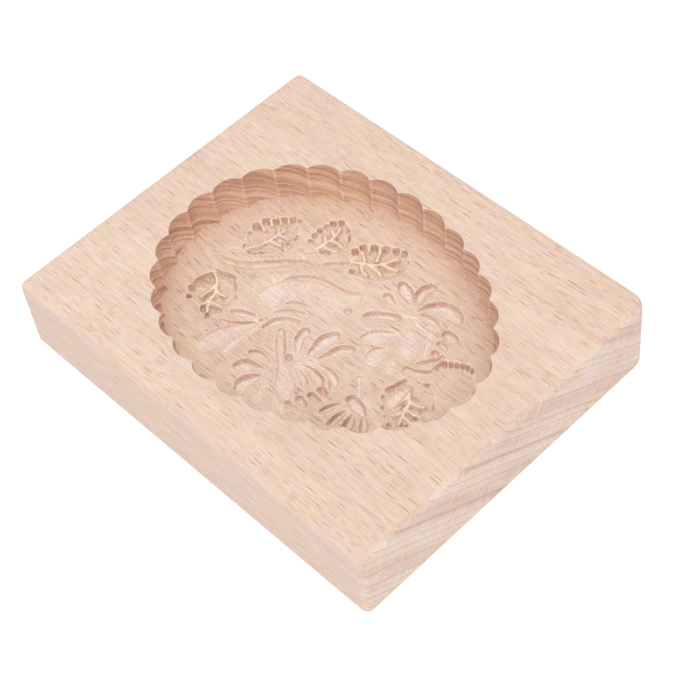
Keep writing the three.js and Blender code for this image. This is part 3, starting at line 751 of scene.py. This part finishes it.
leaf(
    outline=[
        [-34, -7.9], [-33.6, -6.5], [-32.5, -6.7], [-30.9, -5.6], [-29.1, -5.2], [-27, -6.2], [-25.1, -7.8],
        [-23.3, -9.6], [-22.7, -11.1], [-22.6, -12.9], [-23, -16.3], [-23.5, -18.1], [-23.6, -19.4],
        [-24.9, -19.4], [-27.2, -18.8], [-29, -17.7], [-31.1, -17.6], [-32.7, -17.6], [-33.9, -16.8],
        [-34.7, -15.4], [-35.2, -13.7], [-35.5, -12.1], [-35.2, -10.4], [-34.6, -8.9],
    ],
    notches=[[-34.2, -15.1, 1], [-32.8, -17.4, 0.75]],
    pits=[
        [[-33.3, -9.4, 1.2], [-33.3, -11.3, 1.9], [-33.7, -12.8, 1.6]],
        [[-33.9, -6.9, 0.35], [-32.9, -7, 0.5], [-31.4, -7.1, 0.85], [-30, -6.5, 1], [-28.7, -6.2, 0.85]],
        [[-27.4, -6.9, 0.45], [-26.3, -7.5, 0.5], [-25.6, -8.2, 0.4]],
        [[-29.2, -12.9, 0.55], [-29.1, -14.3, 0.85], [-28.9, -15.8, 0.7]],
        [[-27.9, -17.1, 0.65], [-26.8, -18, 0.7]],
        [[-25, -18.2, 0.6], [-24.4, -18.9, 0.6]],
        [[-25.8, -16, 0.7], [-24.5, -15.6, 0.6]],
        [[-23.9, -15, 0.4], [-23.1, -15.5, 0.4]],
        [[-27, -12.9, 0.35], [-25.5, -14, 0.35]],
        [[-26.3, -12.4, 0.6], [-25, -12.8, 0.6]],
        [[-24.7, -13.5, 0.5], [-23.8, -12.7, 0.55]],
        [[-29, -10.4, 0.55], [-27.8, -10.7, 0.7]],
        [[-24, -9.5, 0.4], [-23.3, -10.3, 0.35]],
        [[-27.1, -16.7, 0.3], [-26.7, -16.6, 0.3]],
        [[-31.3, -9.9, 0.35], [-30.9, -10.8, 0.35]],
    ],
    veins=[
        [[-35.7, -6.4], [-33.9, -7.9], [-31.9, -8.9], [-30.5, -10.1], [-28.6, -12.3], [-27.9, -14.8],
         [-26.9, -16.2], [-25.7, -17.9]],
        [[-30.5, -10.4], [-30.2, -12.7], [-30.3, -15.3]],
        [[-28.2, -13.9], [-28, -15.5], [-28.4, -17.1]],
        [[-30, -11.2], [-27.5, -11.8], [-26, -11.5]],
        [[-27.6, -15.1], [-25.4, -14.7], [-23.8, -14.4]],
    ],
)
leaf(
    outline=[
        [25.8, 0.8], [25.3, -0.3], [24.9, -2.7], [24.1, -5.3], [24.8, -6.7], [25.2, -7.9], [26.7, -9.1],
        [28.2, -10.3], [30, -11.3], [31.7, -12.1], [33.5, -12.9], [34.8, -12.6], [35.4, -11.4],
        [35.8, -9.6], [36.8, -7.2], [38.2, -6.1], [38, -4.4], [37.6, -2.5], [36.4, -0.6], [34.9, 1],
        [32.8, 2.3], [30.9, 2.6], [29.2, 2.2], [27.3, 1.6],
    ],
    notches=[[25.6, -7.2, 0.6], [27.8, -9.6, 0.6], [30, -11, 0.5], [32.5, -12.3, 0.65]],
    pits=[
        [[26.2, -0.4, 0.6], [26.1, -2.1, 0.8], [25.8, -3.6, 0.85], [25.1, -5, 0.75]],
        [[31, -7.2, 0.55], [31, -5.9, 0.8]],
        [[31.1, -2.4, 0.6], [32.2, -2.3, 0.75]],
        [[30.4, 1.5, 0.45], [31.2, 2.1, 0.55]],
        [[28.9, 1.2, 0.35], [29.1, 1.3, 0.35]],
        [[32.9, -4.9, 0.5], [34, -5.4, 0.55]],
        [[35, -4.5, 0.7], [35.4, -4.6, 0.7]],
        [[33.7, -6.7, 0.4], [34.1, -7.4, 0.35]],
        [[35.2, -7.3, 0.65], [35.7, -6.9, 0.65]],
        [[33.4, -9.2, 0.4], [33.5, -9.4, 0.4]],
        [[34.7, -10.1, 0.6], [35.4, -9.6, 0.55]],
        [[36.2, -1.1, 0.35], [37.2, -2.3, 0.35]],
        [[38, -5.9, 0.35], [38.1, -5.7, 0.35]],
        [[28.9, -1.8, 0.35], [29, -2.7, 0.35]],
    ],
    veins=[
        [[28.2, -1], [29.9, -2.9], [31.4, -4.4], [32.3, -6.2], [32.9, -8], [33.9, -10.4]],
        [[31.2, -4.1], [33.2, -3.9], [35, -3.1]],
        [[32.4, -6.4], [34.4, -6.2], [36.4, -5.7]],
        [[29.9, -2.9], [29.8, -4.9], [28.9, -6.5]],
        [[31.8, -5.3], [31.9, -8.1], [31.1, -9.6]],
        [[33.2, -8.4], [35.6, -8.4]],
    ],
)
# The fifth leaf's smooth half
groove(
    [[28.3, -1.9, 1.1], [27.9, -4.3, 1.8], [28, -6.9, 2.1]],
    deepest=1.25,
    full_width=0.9,
    tilt=0.1,
    wall=1.2,
    ragged=0,
)
leaf(
    outline=[
        [30.2, 4.9], [30.3, 6.6], [30.6, 8.1], [31.1, 9.2], [32, 10.1], [33.2, 10.9], [34.6, 11.5],
        [36.2, 11.7], [37.9, 11.1], [39.9, 9.6], [40.9, 7.9], [41, 6.4], [40.8, 4.6], [40.2, 2.9],
        [38.5, 2], [36.5, 2], [34.1, 2.6], [31.9, 3.5],
    ],
    notches=[
        [30.1, 9.3, 0.62], [31.3, 10.2, 0.57], [32.5, 11, 0.57], [33.7, 11.7, 0.57],
        [35, 12.2, 0.55], [36.3, 12.2, 0.5],
    ],
    pits=[[[29.6, 7, 0.6], [29.5, 8.4, 0.7]], [[40.7, 9.2, 0.3], [41.1, 7.6, 0.3]]],
    veins=[],
    torn=0.02,
    blade_depth=0.5,
    stretch=1.9,
)

# The branch, with a knot where a side shoot leaves it, and the leaves' stalks
BRANCH_DEPTH = 1.9
STEM_DEPTH = 1.4
for branch in (
    [[-37.5, -4.2, 0.8], [-33.5, -3.2, 1.4], [-29, -1.1, 1.8], [-25.2, 2.4, 1.8], [-22.3, 5.8, 1.6],
     [-19.3, 8.4, 1.2]],
    [[-20.6, 7.4, 0.9], [-18.8, 9, 1.2], [-16, 9.9, 1.2], [-14.6, 11, 1]],
    [[-14.6, 11.2, 0.8], [-13.3, 12.7, 1.2], [-11.8, 13.9, 1.4], [-10.5, 15, 1.5], [-9.9, 15.9, 1.1]],
):
    groove(branch, BRANCH_DEPTH, full_width=1.2, wall=1.2, fresh=0.2, ragged=0.3)
for stem in (
    [[-20.5, 11.2, 0.6], [-19.5, 12.6, 0.6], [-18.6, 13.6, 0.5]],
    [[-20.6, 11, 0.35], [-19.4, 9.9, 0.35]],
    [[-35.8, 0, 0.7], [-34.7, 1, 0.65], [-33.4, 1.9, 0.45]],
    [[-39.8, -4.5, 0.3], [-36.3, -5.6, 0.4], [-33.5, -7.4, 0.4]],
    [[24.6, 1.9, 1.6], [25.9, 2.1, 1.6], [27.4, 2.9, 1.6], [28.9, 3.7, 1.8], [29.9, 4.9, 1.7]],
    [[30, 5.2, 1.3], [29.6, 6.6, 1.1], [29.4, 8, 0.9]],
):
    groove(stem, STEM_DEPTH, full_width=0.8, fresh=0.2)

# The bird: a body that is deepest under its back and runs out at the belly, fuzzy wing coverts,
# and deeper feathers
body = [
    [-15.9, -1.2], [-11.5, -3.7], [-6.5, -2.4], [-2.1, -2.6], [1.1, -1.2], [3.5, 2.8], [4.3, 5.9],
    [2.5, 8.4], [1.3, 10.4], [-0.1, 11.8], [-1.7, 10.7], [-4.5, 9.7], [-8.5, 8.7], [-12.5, 7.4],
    [-15.5, 5.6], [-17.3, 3.2],
]
back = [[-18.5, 2.5], [-16, 5.3], [-13, 7.3], [-9.5, 8.3], [-5.8, 8.8], [-3, 9.5], [-0.5, 11.3], [1, 11.5]]
under, inside = area(body)
below_back = distance_from(back, under)
side_wall = (0.12 + 0.9 * np.exp(-below_back / 1.5)) * inside
belly = 0.3 + 0.65 * np.exp(-below_back / 3.5)
lower(under, soft_min(side_wall, belly, FILLET), fresh=0.6)

groove(
    [[-20.1, -8.2, 0.35], [-20.2, -5.3, 0.5], [-20, -2.6, 0.7], [-18.9, 0.2, 0.8], [-17.4, 3, 1],
     [-15.6, 5, 1.2], [-12.6, 6.9, 1.35], [-9.3, 8, 1.3], [-5.8, 8.6, 1.1], [-3, 9.5, 1],
     [-0.5, 11.3, 0.7]],
    deepest=1.5,
    full_width=1.1,
    wall=1.3,
    fresh=0.1,
    ragged=0,
)

coverts = [
    [-16.7, 4.9], [-19.6, 4.9], [-22.2, 2.6], [-24.1, 0], [-22.9, -2.4], [-20.9, -4.8],
    [-19.5, -7.6], [-16.9, -8.8], [-14.5, -7.6], [-12.7, -5.8], [-12.5, -2.2], [-14.5, 1.8],
]
under, inside = area(coverts)
x = across_x[under]
y = across_y[under]
barb = 0.03 * np.sin(math.tau * (x * 0.62 + y * 0.78) / 0.9 + 1.5 * np.sin(0.9 * x - 0.7 * y))
fluff = np.random.default_rng(4)
fuzz = fluff.normal(0, 0.05, x.size)
patchy = 0.5 + 0.35 * np.sin(0.9 * x + 1.7 * np.sin(0.5 * y)) * np.sin(0.8 * y + 1.1 * x)
ragged = 0.35 * inside + 0.3 * patchy - 0.25
paleness = 0.7 + 0.5 * patchy + fluff.normal(0, 0.25, x.size)
lower(under, soft_min(ragged, 0.42 + barb + fuzz, FILLET), fresh=paleness)

# Thin cuts at the throat, at the edges of the coverts and by the branch
THIN_CUT_DEPTH = 0.55
for thin_cut in (
    [[1, 12, 0.25], [2, 9.8, 0.25]],
    [[2.8, 7.8, 0.2], [3.9, 5.3, 0.2]],
    [[-23.9, -2.6, 0.5], [-22, -4.4, 0.6], [-21.2, -6.3, 0.45]],
    [[-24.6, 0.2, 0.35], [-22.6, 2.8, 0.4], [-20.4, 4.9, 0.35]],
    [[-22.3, 8.8, 0.3], [-21.5, 10.3, 0.3]],
):
    groove(thin_cut, THIN_CUT_DEPTH, full_width=0.4, ragged=0)

# The feathers of the wing, then those of the tail, the dark cut between them, and the eye
FEATHER_DEPTH = 2.0
TAIL_DEPTH = 0.95
EYE_DEPTH = 1.3
for feather in (
    [[-12.3, -3.3, 0.5], [-11.5, -1.7, 0.9], [-9.3, -0.7, 1], [-7, 0.1, 0.7]],
    [[-12.7, -7, 0.5], [-11.7, -5.5, 0.8], [-9.8, -3.9, 0.9], [-7.4, -2.6, 0.8], [-6.2, -2.1, 0.5]],
    [[-11.1, -11.6, 1], [-10.4, -8.9, 1.4], [-8.7, -6.9, 1.5], [-6, -5.1, 1]],
    [[-20.3, -13.4, 1.2], [-18.2, -12.3, 1.5], [-15.9, -11, 0.8]],
    [[-20.9, -17.2, 0.7], [-18.8, -16.4, 0.8]],
):
    groove(feather, FEATHER_DEPTH, full_width=0.9)
for tail_feather in (
    [[-18.3, -25.2, 2.1], [-17.9, -21.8, 2.7], [-16.3, -17.6, 2], [-13.5, -12.8, 1.1]],
    [[-12.9, -22.8, 1.3], [-13.1, -19.2, 1.4], [-12.7, -14.8, 0.9], [-12.3, -11.2, 0.5]],
):
    groove(tail_feather, TAIL_DEPTH, full_width=1.8, wall=1.1, fresh=0.8, ragged=0.2)
groove(
    [[-18, -15.6, 0.4], [-15.2, -13.3, 0.45], [-13.3, -10.4, 0.35]],
    deepest=1.6,
    full_width=0.35,
    tilt=0.3,
    wall=2.0,
    fresh=0,
    ragged=0,
)
groove([[0.8, 5.5, 1.25]], EYE_DEPTH, full_width=1.2, tilt=0.4, fresh=0.4, ragged=0)
vein([[-17.8, -14.5], [-15.8, -12.9], [-13.8, -11.3]])

# The upper right flower, with four beads beside it
PETAL_DEPTH = 2.15
WIDE_PETAL_DEPTH = 1.3
SHALLOW_PETAL_DEPTH = 0.6
BEAD_DEPTH = 1.8
for petal in (
    [[5.4, 20.2, 1.5], [7.1, 19.4, 2], [9.3, 18.4, 1.6], [11.9, 17, 0.6]],
    [[11.4, 24.2, 1.7], [10.9, 22.1, 2], [11.7, 19.5, 1.5], [12.9, 17, 0.5]],
    [[23.6, 20.9, 1.4], [21.7, 21.4, 2.3], [18.7, 21.4, 2.6], [15.9, 19.8, 1.8], [13.6, 16.4, 0.4]],
    [[21.1, 16.4, 0.9], [19.1, 16.8, 1.3], [16.5, 16.6, 1.2], [14.4, 15.9, 0.4]],
    [[20.1, 13.6, 0.9], [17.1, 13.7, 1.1], [14.5, 14.4, 0.4]],
    [[5, 15.2, 1.4], [6.4, 14.7, 1.3], [8, 14.6, 0.8], [10.5, 14.6, 0.3]],
    [[5.6, 7.3, 1.2], [6.4, 8.6, 1.5], [8.2, 9.9, 1.5], [9.9, 11, 1.5], [11.4, 11.7, 1.6]],
    [[11.8, 12.1, 0.45], [13.3, 13.9, 0.3], [15, 14.7, 0.25]],
):
    groove(petal, PETAL_DEPTH)
for wide_petal in (
    [[10.1, 2.4, 1.6], [11.1, 3.7, 2.3], [13, 5.9, 1.9], [15.5, 8.6, 0.5]],
    [[16.3, -2.1, 1.5], [15.6, -0.8, 2.1], [15.2, 1, 1.9], [16.1, 3.4, 0.6]],
    [[25.1, 7.4, 0.9], [23.3, 10, 0.95], [21.5, 13.2, 0.45]],
):
    groove(wide_petal, WIDE_PETAL_DEPTH, wall=1.2, fillet=2.6)
for shallow_petal in (
    [[21.5, -1.2, 1.5], [20.4, 0.8, 1.6], [19.5, 3, 1.1]],
    [[21.5, 4.2, 1.8], [20, 7, 2.7], [17.1, 9.8, 2.1], [14.1, 12.1, 0.7]],
):
    groove(shallow_petal, SHALLOW_PETAL_DEPTH, tilt=0.6, wall=0.6, fresh=0.75, ragged=0)
for bead in (
    [[24.5, 16.1, 1.7], [26.2, 15.9, 1.9]],
    [[25, 13.2, 1.2], [26.6, 12.9, 1.3]],
    [[26, 10.2, 1.2], [26.8, 9.8, 1]],
    [[24.9, 5.2, 0.6], [26.5, 6.9, 1], [27.9, 8.8, 1.1], [28.1, 10.6, 0.8]],
):
    groove(bead, BEAD_DEPTH, full_width=1.0, tilt=0.6, fresh=0.6)

# The large flower at the bottom, with its beads, its stem and the dark cut along it
LOW_PETAL_DEPTH = 1.2
for petal in (
    [[-2.5, -6, 1.6], [-1.8, -8.5, 1.5], [0.3, -11.2, 1], [1.9, -13, 0.4]],
    [[3.9, -2.5, 1.9], [3.3, -4.8, 2.3], [3.2, -7.8, 1.6], [3.6, -11.4, 0.5]],
    [[9.9, -2.7, 1.6], [8.4, -4.5, 2], [7.2, -7.2, 1.4], [5.6, -10.7, 0.4]],
    [[14.9, -13.6, 1.1], [13.5, -11.7, 1.5], [11, -10.8, 1.3], [8, -11, 0.9], [5.1, -11.9, 0.3]],
    [[11.6, -14.7, 1.2], [10.4, -14.1, 1.6], [8.2, -13.6, 1.5], [5.7, -13.4, 0.9], [3.2, -14.1, 0.4]],
    [[8.7, -17.3, 1], [8, -16.6, 1.2], [5.8, -15.8, 1], [3.6, -15.1, 0.4]],
    [[-7.7, -19.1, 1.1], [-6.1, -18.2, 1.3], [-3.5, -18.2, 0.9], [-1.2, -18.7, 0.3]],
    [[-7.1, -24, 1.8], [-6.1, -22.8, 2.2], [-3.8, -21.5, 1.3], [-1, -20.3, 0.4]],
    [[-2.1, -28.2, 1.9], [-2.5, -26.6, 2.2], [-1.9, -24.6, 1.7], [-0.6, -22, 0.4]],
):
    groove(petal, PETAL_DEPTH)
for low_petal in (
    [[10.3, -26.2, 1.1], [8.7, -25.6, 1.3], [6.1, -24.6, 0.6]],
    [[3.5, -27.8, 1.2], [2.8, -26.1, 1.5], [1.4, -23.2, 1], [0.4, -20.8, 0.4]],
    [[7.2, -21.6, 1.9], [5.9, -20.6, 2.7], [3.5, -18.9, 2.3], [0.8, -16.8, 1.4]],
):
    groove(low_petal, LOW_PETAL_DEPTH, wall=1.1, fresh=0.8, ragged=0.2)
for bead in (
    [[12.5, -18.4, 1.2], [14.6, -18.3, 1]],
    [[11.2, -21.1, 1.3], [13.2, -21.6, 1.1]],
    [[10, -23.7, 1], [11, -24.5, 0.8]],
    [[8.1, -22.1, 0.35], [8.5, -23.2, 0.35]],
):
    groove(bead, BEAD_DEPTH, full_width=1.0, tilt=0.6, fresh=0.6)
stem = [[-7, -10, 1.1], [-4.7, -12.5, 1.3], [-1.7, -15.2, 1.3], [0.9, -17.2, 1.1]]
groove(stem, deepest=1.2, tilt=0.3, fresh=0.5)
groove([[13.1, -15.6, 1.3], [14.3, -15.9, 1.2]], BEAD_DEPTH, full_width=1.0, tilt=0.3, fresh=0)
groove([[-7.3, -9.6, 0.9]], BEAD_DEPTH, full_width=0.9)
groove([[-0.1, -14, 1.15], [0.4, -14.4, 1.15]], BEAD_DEPTH, full_width=1.0, tilt=0.3, wall=1.2, fresh=0)
dark_cut = [[-6.4, -9.5, 0.6], [-3.7, -12.1, 0.75], [-1.6, -14.1, 0.6]]
groove(dark_cut, deepest=2.2, full_width=0.6, tilt=0.3, fresh=0)

# The half open flower at the lower right
for petal in (
    [[30.7, -14, 0.5], [28.8, -13.3, 0.6], [26.2, -12.2, 0.5], [23.9, -10.8, 0.55], [22.9, -10.4, 0.6]],
    [[25.5, -14.1, 1.2], [23, -13.4, 1.9], [20.7, -12.9, 1.7]],
    [[17.9, -20, 1.1], [18.5, -17.8, 1.2], [19.8, -15.3, 0.5]],
    [[22, -21.2, 1.3], [21.9, -18.7, 1.3], [22, -16.2, 0.6]],
    [[25.7, -20.2, 1.5], [25.1, -18.2, 1.6], [24, -15.9, 0.6]],
    [[29.3, -17.6, 1.2], [28.1, -16.2, 1.3], [26.5, -14.9, 0.6]],
):
    groove(petal, PETAL_DEPTH)
groove([[17.3, -7.1, 0.9], [19.3, -9, 0.9], [21.1, -11, 0.9]], STEM_DEPTH, full_width=0.9)

# The carving's tool: the lowered grid inside the recess, drawn up to a solid and taken out of the block
WALL_MARGIN = 1.2
tool_marks = np.random.default_rng(9).normal(0, ROUGHNESS, depth.size)
depth += np.where(depth > 0.1, tool_marks, 0)
corners[:, 2] = (FLOOR - depth) * MM
carver.data.vertices.foreach_set("co", corners.ravel())
oval_x = across_x / (HALF_LENGTH - DRAFT - WALL_MARGIN)
oval_y = across_y / ((HALF_WIDTH - DRAFT - WALL_MARGIN) * (1 - FULLNESS * oval_x))
bpy.ops.object.mode_set(mode="EDIT")
bpy.ops.mesh.select_all(action="DESELECT")
bpy.ops.object.mode_set(mode="OBJECT")
carver.data.vertices.foreach_set("select", oval_x**2 + oval_y**2 > 1)
bpy.ops.object.mode_set(mode="EDIT")
bpy.ops.mesh.delete(type="VERT")
bpy.ops.mesh.select_all(action="SELECT")
bpy.ops.mesh.extrude_region_move(TRANSFORM_OT_translate={"value": (0, 0, CARVER_HEIGHT)})
bpy.ops.mesh.select_all(action="SELECT")
bpy.ops.mesh.normals_make_consistent(inside=False)
bpy.ops.object.mode_set(mode="OBJECT")
carver.data.materials.append(carved)
cut(carver)

# How fresh the carving is at each point of its floor, and how cream its rim is: torn fibres with a painted
# highlight
columns = round(2 * REACH_X / SPACING) + 1
fresh_wood = block.data.attributes.new("fresh", "FLOAT", "POINT")
burrs_and_highlights = block.data.attributes.new("burr_and_highlight", "FLOAT", "POINT")
for vertex, cut_now, burr_and_highlight in zip(block.data.vertices, fresh_wood.data, burrs_and_highlights.data):
    if vertex.co.z < FLOOR * MM + 1e-6:
        column = round((vertex.co.x / MM - CENTRE[0] + REACH_X) / SPACING)
        row = round((vertex.co.y / MM - CENTRE[1] + REACH_Y) / SPACING)
        if 0 <= column < columns and 0 <= row * columns + column < freshness.size:
            cut_now.value = freshness[row * columns + column]
            burr_and_highlight.value = burr_and_highlight_strength[row * columns + column]

# The ridges between the lobes get a painted highlight. An attribute says how near each point is to one.
RIDGE_HIGHLIGHT_WIDTH = 0.55
ridges = np.vstack((floor_line[::LOBE_STEPS], rim_line[::LOBE_STEPS]))
ridge_highlight = block.data.attributes.new("ridge", "FLOAT", "POINT")
for vertex, highlight in zip(block.data.vertices, ridge_highlight.data):
    near = np.hypot(*(ridges - np.array(vertex.co.xy) / MM).T).min()
    highlight.value = max(0, 1 - near / RIDGE_HIGHLIGHT_WIDTH)

bpy.ops.object.select_all(action="DESELECT")
block.select_set(True)
bpy.context.view_layer.objects.active = block
bpy.ops.object.shade_smooth_by_angle(angle=SMOOTH_ANGLE)
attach(block, "root")
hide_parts("mould_block")


# The stage
# A plain white floor under a white sky, with three large soft lamps: one overhead, one in front
# on the right, and a weaker one on the left.
PAPER_SIZE = 6
PAPER_DROP = 0.1 * MM
SKY_STRENGTH = 0.45
LAMP_SPREAD = math.radians(70)


def white_to_the_eye(sheet_tree):
    """1 for what the camera sees, straight or in a reflection, and 0 for the light on the block."""
    rays = sheet_tree.nodes.new("ShaderNodeLightPath")
    seen = rays.outputs["Is Camera Ray"]
    for name in ("Is Glossy Ray", "Is Transmission Ray"):
        either = sheet_tree.nodes.new("ShaderNodeMath")
        either.operation = "MAXIMUM"
        sheet_tree.links.new(seen, either.inputs[0])
        sheet_tree.links.new(rays.outputs[name], either.inputs[1])
        seen = either.outputs[0]
    return seen


bpy.ops.object.select_all(action="DESELECT")
bpy.ops.mesh.primitive_plane_add(size=PAPER_SIZE, location=(0, 0, -PAPER_DROP))
floor = bpy.context.object
floor.name = "studio_floor"
paper = bpy.data.materials.new("white_paper")
paper.use_nodes = True
nodes = paper.node_tree.nodes
links = paper.node_tree.links
nodes.remove(nodes["Principled BSDF"])
matt = nodes.new("ShaderNodeBsdfDiffuse")
matt.inputs["Color"].default_value = (0.88, 0.88, 0.88, 1)
shadow_catch = nodes.new("ShaderNodeBsdfDiffuse")
shadow_catch.inputs["Color"].default_value = (0.3, 0.3, 0.3, 1)
glow = nodes.new("ShaderNodeEmission")
glow.inputs["Strength"].default_value = 0.8
both = nodes.new("ShaderNodeAddShader")
links.new(shadow_catch.outputs[0], both.inputs[0])
links.new(glow.outputs[0], both.inputs[1])
choice = nodes.new("ShaderNodeMixShader")
links.new(white_to_the_eye(paper.node_tree), choice.inputs[0])
links.new(matt.outputs[0], choice.inputs[1])
links.new(both.outputs[0], choice.inputs[2])
links.new(choice.outputs[0], nodes["Material Output"].inputs["Surface"])
floor.data.materials.append(paper)

world = bpy.data.worlds.new("white_studio")
bpy.context.scene.world = world
world.use_nodes = True
nodes = world.node_tree.nodes
links = world.node_tree.links
soft = nodes["Background"]
soft.inputs["Color"].default_value = (1, 1, 1, 1)
soft.inputs["Strength"].default_value = SKY_STRENGTH
backdrop = nodes.new("ShaderNodeBackground")
backdrop.inputs["Color"].default_value = (1, 1, 1, 1)
backdrop.inputs["Strength"].default_value = 1
choice = nodes.new("ShaderNodeMixShader")
links.new(white_to_the_eye(world.node_tree), choice.inputs[0])
links.new(soft.outputs[0], choice.inputs[1])
links.new(backdrop.outputs[0], choice.inputs[2])
links.new(choice.outputs[0], nodes["World Output"].inputs["Surface"])

for name, towards, energy in (
    ("soft_lamp", Vector((0.15, 0.05, 1.0)), 1.0),
    ("front_lamp", Vector((0.66, -0.6, 0.5)), 0.92),
    ("left_lamp", Vector((-0.8, 0.1, 0.6)), 0.45),
):
    lamp_data = bpy.data.lights.new(name, "SUN")
    lamp_data.angle = LAMP_SPREAD
    lamp_data.energy = energy
    lamp = bpy.data.objects.new(name, lamp_data)
    bpy.context.scene.collection.objects.link(lamp)
    lamp.location = towards
    lamp.rotation_mode = "QUATERNION"
    lamp.rotation_quaternion = towards.to_track_quat("Z", "Y")

# The camera, at the photograph's viewing angle
CAMERA_PLACE = Vector((224.52, -171.33, 363.43)) * MM
CAMERA_AIM = Vector((6.03, -2.71, 11.5)) * MM
CAMERA_ROLL = math.radians(-8.794)
camera_data = bpy.data.cameras.new("camera")
camera_data.lens = 97.25
camera_data.sensor_width = 36
camera_data.clip_start = 0.01
camera = bpy.data.objects.new("camera", camera_data)
bpy.context.scene.collection.objects.link(camera)
camera.location = CAMERA_PLACE
camera.rotation_mode = "QUATERNION"
level = (CAMERA_AIM - CAMERA_PLACE).to_track_quat("-Z", "Y")
camera.rotation_quaternion = level @ Quaternion((0, 0, 1), CAMERA_ROLL)
bpy.context.scene.camera = camera
bpy.context.scene.view_settings.view_transform = "Standard"
